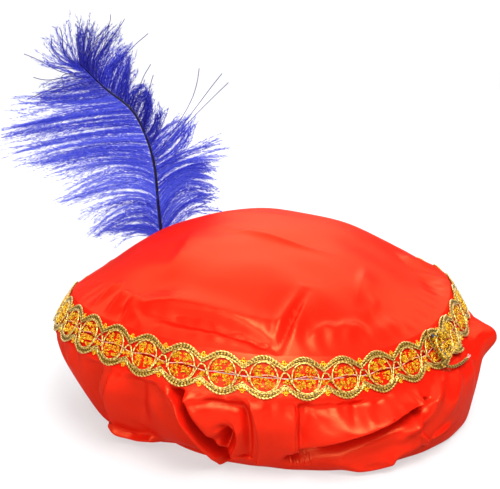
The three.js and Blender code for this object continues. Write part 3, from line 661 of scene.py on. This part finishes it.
# Hem: a casing drawn up by elastic into fine gathers
HEM_GATHERS, GATHER_DEPTH, PER_GATHER = 96, 0.55, 6
hem_columns = HEM_GATHERS * PER_GATHER
azimuth = np.arange(hem_columns) * 360 / hem_columns
angle = np.radians(azimuth)
pleat = GATHER_DEPTH * (0.5 + 0.5 * np.cos(angle * HEM_GATHERS + 1.3 * np.sin(7 * angle)))
outside = HEM_OUTSIDE - 2 * GAP - 0.2
# Round the section: distance in from the outside, height and share of the gathers
HEM_SECTION = [
    (HEM_THICK - 0.8, 0, 0.5), (0.8, 0, 0.5), (0, 2, 1), (0.1, 5.5, 1), (GAP, HEM_HIGH - 1, 1),
    (1.6, HEM_HIGH, 1), (HEM_THICK - 0.8, HEM_HIGH - 0.6, 1), (HEM_THICK, HEM_HIGH - 2.5, 1),
    (HEM_THICK, 2, 1),
]
sections = [hem_ring(azimuth, outside - inward - k * pleat, z) for inward, z, k in HEM_SECTION]
hem_points = np.stack(sections, 1)
index = np.arange(len(azimuth) * len(sections)).reshape(len(azimuth), -1)
beside = np.roll(index, -1, 0)
hem_faces = quads(index, beside, np.roll(beside, -1, 1), np.roll(index, -1, 1))
hem_mesh = (hem_points.reshape(-1, 3), hem_faces)
hem = mesh_piece("hem_casing", *hem_mesh, None, SATIN, ["elastic_hem"], "satin")

# Braid: scallops with an oval in each
OVALS, FIRST_OVAL = 34, 0.6
PITCH = 360 / OVALS
BRAID_RADIUS = 140
MM_PER_PITCH = 2 * math.pi * BRAID_RADIUS / OVALS
EDGE_POWER, LINE_SLACK = 0.52, 1.15
# It stands off where the feather's root goes under it
LOOP_AZIMUTH, LOOP_OUT, LOOP_WIDTH = -145.6, 4, 4.5


def braid_lift(azimuth):
    return LOOP_OUT * np.exp(-(((half_turn(azimuth) - LOOP_AZIMUTH) / LOOP_WIDTH) ** 4))


def braid_point(s, t, out, oval=0, extra=0):
    """A place on the braid: s in pitches along it from an oval's middle, t up across it."""
    azimuth = FIRST_OVAL + PITCH * (np.asarray(s, float) + oval)
    return under_braid(azimuth, -np.asarray(t, float), GAP + out + braid_lift(azimuth) + extra)


def braid_out(azimuth):
    """The direction out of the braid at an azimuth."""
    return plan(azimuth, math.cos(BRAID_SLOPE), math.sin(BRAID_SLOPE))


def edge_wave(s, crest, trough):
    return trough + (crest - trough) * (0.5 + 0.5 * np.cos(2 * math.pi * s)) ** EDGE_POWER


def long_cord(
    t_of, first, last, extra, out, radius, sides, spacing, twist=None, depth=0.0, flatten=1.0, winding=1
):
    """A cord that runs along the braid, from one oval number to another."""
    closed = last - first >= OVALS
    count = int((last - first) * MM_PER_PITCH * LINE_SLACK / spacing)
    s = np.linspace(first, last, count, endpoint=not closed)
    line = braid_point(s, t_of(s - np.round(s)), out, extra=extra)
    up = braid_out(FIRST_OVAL + PITCH * s)
    size = np.full((count, sides), float(radius))
    # The shade attribute is painted shade: 1 in the grooves of a twisted cord, 0 on a cord without
    # twist
    painted_groove_shade = np.zeros((count, sides))
    if twist:
        step = np.linalg.norm(np.roll(line, -1, 0) - line, axis=1)
        run = np.concatenate([[0], np.cumsum(step[:-1])])
        turns = run / twist
        if closed:
            length = run[-1] + step[-1]
            turns = run * round(length / twist) / length
        wave = np.cos(2 * math.pi * turns[:, None] + winding * circle(sides))
        size = radius * (1 + depth * wave)
        painted_groove_shade = 0.5 - 0.5 * wave
    return tubes(line[None], size[None], sides, up[None], closed, flatten) + (painted_groove_shade.ravel(),)


def cord_pair(form, first, last, extra=0):
    """Two cords of one form, along the braid's upper and lower edge."""
    crest, trough, form = form
    return [
        long_cord(lambda s, k=sign: k * edge_wave(s, crest, trough), first, last, extra, **form)
        for sign in (1, -1)
    ]


def oval_cords(points, out, radius, closed, ovals, extra):
    """A cord of the same form at each oval, from points (s, t)."""
    points = np.asarray(points, float)
    lines = np.stack([braid_point(points[:, 0], points[:, 1], out, o, extra) for o in ovals])
    ups = np.stack([braid_out(FIRST_OVAL + PITCH * (points[:, 0] + o)) for o in ovals])
    # Painted shade on every other point along each oval's cord, as in the grooves of a twist
    painted_groove_shade = np.zeros(lines.shape[:2] + (CORD_SIDES,))
    painted_groove_shade[:, ::2] = OVAL_PAINTED_SHADE
    return tubes(lines, radius, CORD_SIDES, ups, closed) + (painted_groove_shade.ravel(),)


# Crest and trough of a cord's wave, and its form
EDGE_CORD = 13.1, 6.4, dict(out=0.8, radius=0.62, sides=6, spacing=0.6, twist=2.3, depth=0.2)
INNER_CORD = 10.2, 4.2, dict(out=0.95, radius=0.48, sides=5, spacing=0.8, twist=2.4, depth=0.12)
GIMP_CORD = 11.6, 5.2, dict(
    out=0.35, radius=1.05, sides=6, spacing=0.55, twist=2.0, depth=0.25, flatten=0.6, winding=0
)
# Sides of an oval's cord, and the painted shade on every other point along it
CORD_SIDES, OVAL_PAINTED_SHADE = 5, 0.7
RING_POINTS, RING_WIDE, RING_HIGH = 36, 0.33, 9.5
turn = circle(RING_POINTS)
RING = np.stack([RING_WIDE * np.cos(turn), RING_HIGH * np.sin(turn)], -1)
SLANT = smooth_line(
    [(0.18, -9.3), (0.29, -6.2), (0.39, -0.8), (0.45, 2.4),
     (0.51, 3.6), (0.57, 2.6), (0.63, -0.2), (0.66, -3.6)], 22,
)
ARCH = smooth_line([(0.36, -9.0), (0.41, -6.9), (0.5, -5.7), (0.59, -6.9), (0.64, -9.0)], 14)
# Points of a cord, its height above the braid, radius, and whether it is a ring
OVAL_FORMS = [(RING, 1.15, 0.52, True), (SLANT, 1.4, 0.5, False), (ARCH, 1.2, 0.5, False)]


def woven(prefix, node, first, last, ovals, extra=0):
    """The edge cords, the flat gimp and the inner cords of a length of braid."""
    cords = cord_pair(INNER_CORD, first, last, extra)
    cords += [oval_cords(*form, ovals, extra) for form in OVAL_FORMS]
    edges = cord_pair(EDGE_CORD, first, last, extra)
    gimp = cord_pair(GIMP_CORD, first, last, extra)
    mesh_piece(prefix + "_edges", *join(edges), GOLD_CORD, [node], "braid")
    mesh_piece(prefix + "_gimp", *join(gimp), GOLD_GIMP, [node], "braid")
    mesh_piece(prefix + "_cords", *join(cords), GOLD_CORD, [node], "braid")


CURL_WIRE, CURL_SIDES, CURL_STEPS, CURL_OUT = 0.22, 3, 6, 0.8
PICOT_WIRE, PICOT_SIDES, PICOT_STEPS, PICOT_SIZE = 0.3, 4, 9, 0.85
PICOT_PLACES = [(-1.5, 8.3), (0, 9.9), (1.5, 8.3), (0, 8.0)]


def curls(centres, spread, count, size, ovals, extra=0):
    """Little curls of metallic thread, scattered round places (s, t) of each oval."""
    paths, ups = [], []
    turn = circle(CURL_STEPS)[:, None]
    for oval in ovals:
        for s, t in centres:
            for _ in range(count):
                ds, dt = rng.uniform(-1, 1, 2)
                s_here = s + ds * spread[0] / MM_PER_PITCH
                out = CURL_OUT + rng.uniform(-0.3, 0.5)
                place = braid_point(s_here, t + dt * spread[1], out, oval, extra)
                a = unit(rng.normal(size=3))
                b = unit(np.cross(a, rng.normal(size=3)))
                radius = size * rng.uniform(0.7, 1.2)
                loop = place + radius * (np.cos(turn) * a + np.sin(turn) * b)
                paths.append(loop)
                ups.append(np.broadcast_to(np.cross(a, b), loop.shape))
    return tubes(paths, CURL_WIRE, CURL_SIDES, np.array(ups), True)


def picots(ovals, extra=0):
    """Small loops outside each pinch, above and below."""
    paths, ups = [], []
    turn = circle(PICOT_STEPS)
    for oval in ovals:
        for sign in (1, -1):
            for ds, t in PICOT_PLACES:
                s = 0.5 + ds / MM_PER_PITCH + PICOT_SIZE * np.cos(turn) / MM_PER_PITCH
                t_here = sign * (t + PICOT_SIZE * np.sin(turn))
                paths.append(braid_point(s, t_here, 0.6 + rng.uniform(0, 0.4), oval, extra))
                ups.append(braid_out(FIRST_OVAL + PITCH * (s + oval)))
    return tubes(paths, PICOT_WIRE, PICOT_SIDES, np.array(ups), True)


woven("braid", "braid_trim", 0, OVALS, range(OVALS))
CLUSTERS = [(a * 3.6 / MM_PER_PITCH, b * 4.0) for a in (-1, 1) for b in (-1, 1)]
tinsel = join([
    curls(CLUSTERS, (2.8, 3.3), 28, 0.72, range(OVALS)),
    curls([(0.5, -2.4)], (3.0, 1.6), 12, 0.7, range(OVALS)),
    picots(range(OVALS)),
])
mesh_piece("braid_tinsel", *tinsel, GOLD_TINSEL, ["braid_trim"], "braid")
THREAD_FORM = dict(out=0.22, radius=0.34, sides=4, spacing=2.2)
thread = long_cord(lambda s: 0.4 + 1.1 * np.sin(2 * math.pi * s + 1), 0, OVALS, 0, **THREAD_FORM)
mesh_piece("braid_thread", *thread, PINK, ["braid_trim"])

# Feather
SHAFT_LINE = [
    (-79, 123.6, 54.9), (-79.2, 116, 66), (-79.5, 108.3, 76.8), (-80, 103, 90), (-82, 102, 118),
    (-84, 104, 146), (-90, 107, 169), (-101, 110, 190), (-121, 113, 206), (-142, 116, 226),
]
SHAFT_POINTS = 120
DEPTH = [0, 1, 0]
shaft = smooth_line(SHAFT_LINE, SHAFT_POINTS)
shaft_places = np.linspace(0, 1, SHAFT_POINTS)
shaft_radius = np.interp(shaft_places, [0, 0.75, 1], [1.5, 1.0, 0.5])
quill = tubes(shaft[None], shaft_radius[None], 8, DEPTH)
mesh_piece("quill", *quill, None, QUILL, ["feather_shaft"], "quill")

# Rows of barbs: along the shaft, bend X and Z, tip X and Z, shade (0 light, 1 dark)
LEFT_ROWS = [
    (0.99, -148, 240, -150, 262, 0.85), (0.97, -152, 232, -164, 252, 0.8),
    (0.93, -150, 220, -180, 222, 0.65), (0.89, -145, 209, -170, 203, 0.5),
    (0.81, -145, 198, -184, 200, 0.4), (0.76, -145, 189, -192, 184, 0.3),
    (0.7, -142, 182, -201, 171, 0.3), (0.63, -134, 172, -196, 160, 0.25),
    (0.57, -131, 162, -190, 148, 0.2), (0.5, -122, 154, -172, 142, 0.2),
    (0.44, -112, 143, -154, 122, 0.2), (0.37, -108, 131, -157, 116, 0.2),
    (0.32, -105, 121, -143, 104, 0.25), (0.26, -102, 110, -134, 93, 0.25),
    (0.19, -97, 98, -130, 94, 0.3), (0.12, -94, 88, -120, 84, 0.35),
]
RIGHT_ROWS = [
    (0.99, -140, 242, -140, 264, 0.95), (0.95, -134, 237, -127, 259, 1.0),
    (0.92, -128, 230, -115, 248, 0.9), (0.87, -120, 222, -110, 244, 0.75),
    (0.83, -114, 218, -106, 238, 0.75), (0.79, -106, 212, -100, 228, 0.85),
    (0.72, -98, 202, -94, 216, 0.9), (0.68, -91, 194, -88, 204, 0.9),
    (0.62, -86, 182, -83, 196, 0.85), (0.57, -80, 172, -76, 192, 0.6),
    (0.53, -72, 166, -62, 187, 0.45), (0.5, -66, 163, -50, 177, 0.35),
    (0.46, -60, 155, -25, 165, 0.35), (0.42, -58, 148, -30, 153, 0.3),
    (0.37, -60, 141, -38, 143, 0.3), (0.29, -64, 132, -37, 131, 0.3),
    (0.21, -62, 116, -37, 119, 0.3), (0.14, -61, 104, -40, 108, 0.35),
]
# Single long barbs that stand off: place on the shaft, bend X and Z, tip X and Z
LEFT_STRAYS = [
    (0.95, -158, 214, -176, 212), (0.9, -156, 220, -181, 230), (0.45, -125, 128, -156, 118),
    (0.97, -152, 226, -161, 241), (0.94, -152, 216, -155, 204), (0.9, -158, 206, -180, 200),
    (0.98, -150, 232, -156, 250), (0.96, -156, 222, -166, 226),
]
RIGHT_STRAYS = [
    (0.52, -60, 188, -47, 222), (0.52, -56, 186, -31, 218), (0.5, -54, 184, -26, 211),
    (0.87, -104, 232, -86, 249), (0.93, -118, 240, -104, 258), (0.95, -124, 246, -114, 260),
    (0.72, -92, 212, -86, 226), (0.68, -86, 206, -84, 218),
]
STRAY_SHADE, STRAY_WIRE = 0.8, 0.34

# Barbs: points on each, last place on the shaft, radius, its loss at the tip, darker stem
BARB_STEPS, LAST_PLACE, BARB_WIRE, BARB_TAPER, STEM_DARKER = 18, 0.995, 0.27, 0.7, 0.2
# Their scatter, and how far they go on past the bend
PLACE_SCATTER, BEND_SCATTER, TIP_SCATTER, DEPTH_SCATTER = 0.002, 1.3, 2.4, 1.5
TIP_DEPTH, TIP_DEPTH_MOST, SHADE_SCATTER, TIP_LENGTHS = 5, 9, 0.08, (0.7, 1.16)
# Waviness below and beyond a place on the shaft
TOP_PLACE, WAGS, STRAY_TOP, STRAY_WAGS = 0.74, (1.8, 4.5), 0.88, (1.0, 2.5)
# Bunches: shift of tips, bends and shade, and how far tips draw together
BUNCH_SHIFT, BUNCH_BEND, BUNCH_SHADE, BUNCH_PULL = 3.2, 0.35, 0.14, (0.15, 0.75)
# Barbules along the barbs
FLUFF_WIRE, FLUFF_DEPTH, FLUFF_SHADE, FLUFF_LIGHTER = 0.14, 0.35, 0.12, 0.12
FLUFF_LEANS, FLUFF_LENGTHS = (1.1, 3.2), (0.6, 1.25)


def shaft_at(at):
    return np.array([np.interp(at, shaft_places, column) for column in shaft.T])


def barb(root, bend, tip, wag, own):
    """A barb from its root through a bend to its tip, a little wavy towards the tip."""
    t = np.linspace(0, 1, BARB_STEPS)
    line = bezier(root, 2 * bend - 0.5 * (root + tip), tip, BARB_STEPS - 1)
    for axis in (0, 2):
        line[:, axis] += wag * np.sin(t * own.uniform(5, 9) + own.uniform(0, 6)) * t**1.5
    return line


def barbs(rows, strays, count, crowd, clump, own):
    """Paths and shades of the barbs and the strays."""
    rows = np.array(sorted(rows))
    known = rows[:, 0]

    def row_at(at):
        return np.array([np.interp(at, known, column) for column in rows.T[1:]])

    along = known[0] + (known[-1] - known[0]) * np.linspace(0, 1, count) ** crowd
    along = np.clip(along + own.normal(0, PLACE_SCATTER, count), known[0], LAST_PLACE)
    paths, shades = [], []
    bunches = {}
    for a in along:
        bunch = int(a / clump + 0.7 * math.sin(41 * a))
        if bunch not in bunches:
            shift = own.normal(0, BUNCH_SHIFT, 2)
            bunches[bunch] = shift, own.uniform(-BUNCH_SHADE, BUNCH_SHADE), own.uniform(*BUNCH_PULL)
        shift, tone, pull = bunches[bunch]
        row = row_at(a)
        centre = row_at(np.clip((bunch + 0.5) * clump, known[0], known[-1]))
        root = shaft_at(a)
        bend = row[0:2] + BUNCH_BEND * shift + own.normal(0, BEND_SCATTER, 2)
        tip = (1 - pull) * row[2:4] + pull * centre[2:4] + shift + own.normal(0, TIP_SCATTER, 2)
        tip = bend + (tip - bend) * own.uniform(*TIP_LENGTHS)
        y = root[1] + own.normal(0, DEPTH_SCATTER)
        bend = np.array([bend[0], y + own.normal(0, DEPTH_SCATTER), bend[1]])
        tip_y = y + np.clip(own.normal(0, TIP_DEPTH), -TIP_DEPTH_MOST, TIP_DEPTH_MOST)
        tip = np.array([tip[0], tip_y, tip[1]])
        wag = own.uniform(-1, 1) * WAGS[int(a >= TOP_PLACE)]
        paths.append(barb(root, bend, tip, wag, own))
        shades.append(np.clip(row[4] + tone + own.normal(0, SHADE_SCATTER), 0, 1))
    for a, bend_x, bend_z, tip_x, tip_z in strays:
        root = shaft_at(a)
        bend = np.array([bend_x, root[1], bend_z])
        tip = np.array([tip_x, root[1], tip_z])
        paths.append(barb(root, bend, tip, STRAY_WAGS[a > STRAY_TOP], own))
        shades.append(STRAY_SHADE)
    return np.array(paths), np.array(shades)


def barbules(line, tone, spacing, length, own):
    """Roots, tips and shades of the fine barbules along one barb."""
    number = int(np.linalg.norm(np.diff(line, axis=0), axis=1).sum() / spacing)
    at = np.sort(own.uniform(0.0, 0.98, number)) * (BARB_STEPS - 1)
    i = np.minimum(at.astype(int), BARB_STEPS - 2)
    place = line[i] + (at - i)[:, None] * (line[i + 1] - line[i])
    ahead = unit(line[i + 1] - line[i])
    across = np.cross(ahead, DEPTH) * own.choice([-1, 1], number)[:, None]
    depth = own.normal(0, FLUFF_DEPTH, number)[:, None] * np.array(DEPTH)
    lean = own.uniform(*FLUFF_LEANS, number)[:, None]
    direction = unit(across + lean * ahead + depth)
    far = at / (BARB_STEPS - 1)
    size = length * own.uniform(*FLUFF_LENGTHS, number)
    size *= np.interp(far, [0, 0.15, 0.75, 1], [0.8, 1, 0.8, 0.45])
    shade = tone + own.normal(0, FLUFF_SHADE, number) - FLUFF_LIGHTER * far
    return place, place + direction * size[:, None], np.clip(shade, 0, 1)


def vane(rows, strays, count, crowd, clump, spacing, length, seed):
    """Barbs and their fine barbules on one side of the shaft."""
    own = np.random.default_rng(seed)
    paths, shades = barbs(rows, strays, count, crowd, clump, own)
    width = np.tile(BARB_WIRE * (1 - BARB_TAPER * np.linspace(0, 1, BARB_STEPS)), (len(paths), 1))
    width[count:] = STRAY_WIRE
    stem_shade = np.repeat(np.clip(shades + STEM_DARKER, 0, 1), BARB_STEPS * 3)
    stems = tubes(paths, width, 3, DEPTH) + (stem_shade,)
    fluff = [barbules(line, tone, spacing, length, own) for line, tone in zip(paths[:count], shades)]
    roots, tips, tones = (np.concatenate(part) for part in zip(*fluff))
    ahead = unit(tips - roots)
    one = unit(np.cross(ahead, own.normal(size=ahead.shape)))
    two = np.cross(ahead, one)
    corners = [roots + FLUFF_WIRE * (np.cos(k) * one + np.sin(k) * two) for k in circle(3)]
    corners = np.stack(corners + [tips], 1)
    index = np.arange(len(roots) * 4).reshape(-1, 4)
    faces = np.concatenate([index[:, k] for k in ([0, 2, 1], [0, 1, 3], [1, 2, 3], [2, 0, 3])])
    return join([stems, (corners.reshape(-1, 3), faces, np.repeat(tones, 4))])


left = vane(
    LEFT_ROWS, LEFT_STRAYS, count=295, crowd=0.95, clump=0.04, spacing=0.56, length=5.4, seed=21
)
mesh_piece("feather_left", *left, FEATHER, ["vane_left"], "feather")
right = vane(
    RIGHT_ROWS, RIGHT_STRAYS, count=325, crowd=0.82, clump=0.045, spacing=0.42, length=5.0, seed=22
)
mesh_piece("feather_right", *right, FEATHER, ["vane_right"], "feather")

# Folded end of the braid, sewn down over the ring with a cut cord sticking out
END_FROM, END_TO, END_LIFT = 52.5, 65.0, 3.0
END_FIRST = (END_FROM - FIRST_OVAL) / PITCH
END_LAST = (END_TO - FIRST_OVAL) / PITCH
woven("end", "braid_end", END_FIRST, END_LAST, [END_FIRST + 0.45], END_LIFT)
END_CLUSTERS = [
    (END_FIRST + ds / MM_PER_PITCH, t) for ds in (5, 11, 17, 23) for t in (-7, -2.5, 2.5, 7)
]
end_tinsel = join([
    curls(END_CLUSTERS, (2.6, 2.0), 14, 0.72, [0], END_LIFT),
    picots([END_FIRST - 0.02, END_FIRST + 0.42], END_LIFT),
])
mesh_piece("end_tinsel", *end_tinsel, GOLD_TINSEL, ["braid_end"], "braid")

# Places beside the fold: pitches past it, up across the braid, and out from it
CUT_EDGE = [(0.1, 13.4, 2.6), (-0.04, 9, 3.6), (-0.03, 2, 3.8), (0.06, -5, 3.8), (0.2, -12, 3.4)]
TAIL = [(0.08, -12.4, 3.6), (0.32, -16.2, 4), (0.66, -18, 4.4), (1.04, -19, 4.6)]
STITCHES = [(3, 8.5), (5.5, 7), (4.5, -2.5), (6.5, -6)]
CORD_POINTS, STRANDS = 60, 14


def end_line(places, count):
    return smooth_line([braid_point(END_FIRST + s, t, out) for s, t, out in places], count)


def short_cord(places, radius, sides, twist):
    """A twisted cord through places beside the fold."""
    line = end_line(places, CORD_POINTS)
    steps = np.arange(len(line))[:, None]
    wave = np.cos(steps * 2 * math.pi / twist + circle(sides))
    up = braid_out(np.full(len(line), END_FROM))
    size = radius * (1 + 0.2 * wave)
    # The shade returned here paints shade into the twist's grooves
    return tubes(line[None], size[None], sides, up[None]) + ((0.5 - 0.5 * wave).ravel(),)


cut_cord = [short_cord(CUT_EDGE, 0.75, 6, 5), short_cord(TAIL, 1.05, 7, 6)]
mesh_piece("end_tail", *join(cut_cord), GOLD_GIMP, ["braid_end"], "braid")
strands = []
for _ in range(STRANDS):
    up, out, ahead = rng.normal(0, 0.6, 3)
    middle = (1.09, -19 + 0.5 * up, 4.7 + 0.4 * abs(out))
    tip = (1.15 + 0.04 * ahead, -18.9 + 2 * up, 4.8 + 1.2 * abs(out))
    line = end_line([(1.02, -19, 4.6), middle, tip], 8)
    strands.append(tubes(line[None], 0.22, 4, [0, 0, 1]))
mesh_piece("end_fray", *join(strands), PINK, ["braid_end"])
stitches = []
for ds, t in STITCHES:
    s = ds / MM_PER_PITCH
    line = end_line([(s, t + 0.9, 3.4), (s, t, 4.7), (s, t - 0.9, 3.4)], 9)
    stitches.append(tubes(line[None], 0.6, 6, [1, 0, 0]))
mesh_piece("end_stitches", *join(stitches), STITCH, ["braid_end"])

# Floor
FLOOR_SIZE = 16
WHITE = (1, 1, 1, 1)
FLOOR_PAPER = {
    "Base Color": (0.24, 0.24, 0.242, 1), "Roughness": 0.9,
    "Emission Color": WHITE, "Emission Strength": 0.55,
}
bpy.ops.mesh.primitive_plane_add(size=FLOOR_SIZE)
floor = bpy.context.object
floor.name = "floor"
floor.data.materials.append(new_material("floor_paper", FLOOR_PAPER)[0])

# Light: place, aim and size in metres, and watts
WORLD_LIGHT = 0.15
world = bpy.data.worlds.new("studio")
bpy.context.scene.world = world
world.use_nodes = True
background = world.node_tree.nodes["Background"]
fill(world.node_tree, background, {"Color": WHITE, "Strength": WORLD_LIGHT})


def softbox(name, place, aim, size, power):
    light = bpy.data.lights.new(name, "AREA")
    light.shape = "RECTANGLE"
    light.size, light.size_y = size
    light.energy = power
    obj = bpy.data.objects.new(name, light)
    obj.location = place
    obj.rotation_euler = (Vector(aim) - Vector(place)).to_track_quat("-Z", "Y").to_euler()
    bpy.context.scene.collection.objects.link(obj)


softbox("key", (0.3, -0.75, 1.3), (0, 0, 0.05), (0.7, 0.7), 32)
softbox("top", (-0.1, 0.35, 1.5), (0, 0, 0.05), (0.9, 0.9), 5)
softbox("front", (-0.5, -1.4, 0.5), (0, 0, 0.05), (0.8, 0.5), 12)
softbox("back", (-0.1, 1.1, 0.55), (-0.1, 0.1, 0.19), (1.0, 0.5), 8)
softbox("backdrop", (0, 4.5, 3), (0, 4.5, 0), (9, 5), 560)
softbox("foreground", (0, -1.6, 1.6), (0, -1.4, 0), (3, 0.8), 30)

# Camera, fitted to the photo in its pixels
PHOTO_WIDTH, PHOTO_HEIGHT = 500, 489
FOCAL_PIXELS, AIM_X, AIM_Y, AIM_HEIGHT = 1177, 261.5, 298.2, 74
ELEVATION, DISTANCE, SENSOR = math.radians(20), 0.852, 36
camera_data = bpy.data.cameras.new("camera")
camera_data.sensor_width = SENSOR
camera_data.lens = SENSOR * FOCAL_PIXELS / PHOTO_WIDTH
camera_data.shift_x = (PHOTO_WIDTH / 2 - AIM_X) / PHOTO_WIDTH
camera_data.shift_y = (AIM_Y - PHOTO_HEIGHT / 2) / PHOTO_WIDTH
camera = bpy.data.objects.new("camera", camera_data)
target = Vector(((HAT + [0, 0, AIM_HEIGHT]) * MM).tolist())
camera.location = target + DISTANCE * Vector((0, -math.cos(ELEVATION), math.sin(ELEVATION)))
camera.rotation_euler = (math.pi / 2 - ELEVATION, 0, 0)
bpy.context.scene.collection.objects.link(camera)
bpy.context.scene.camera = camera
bpy.context.scene.view_settings.view_transform = "Standard"
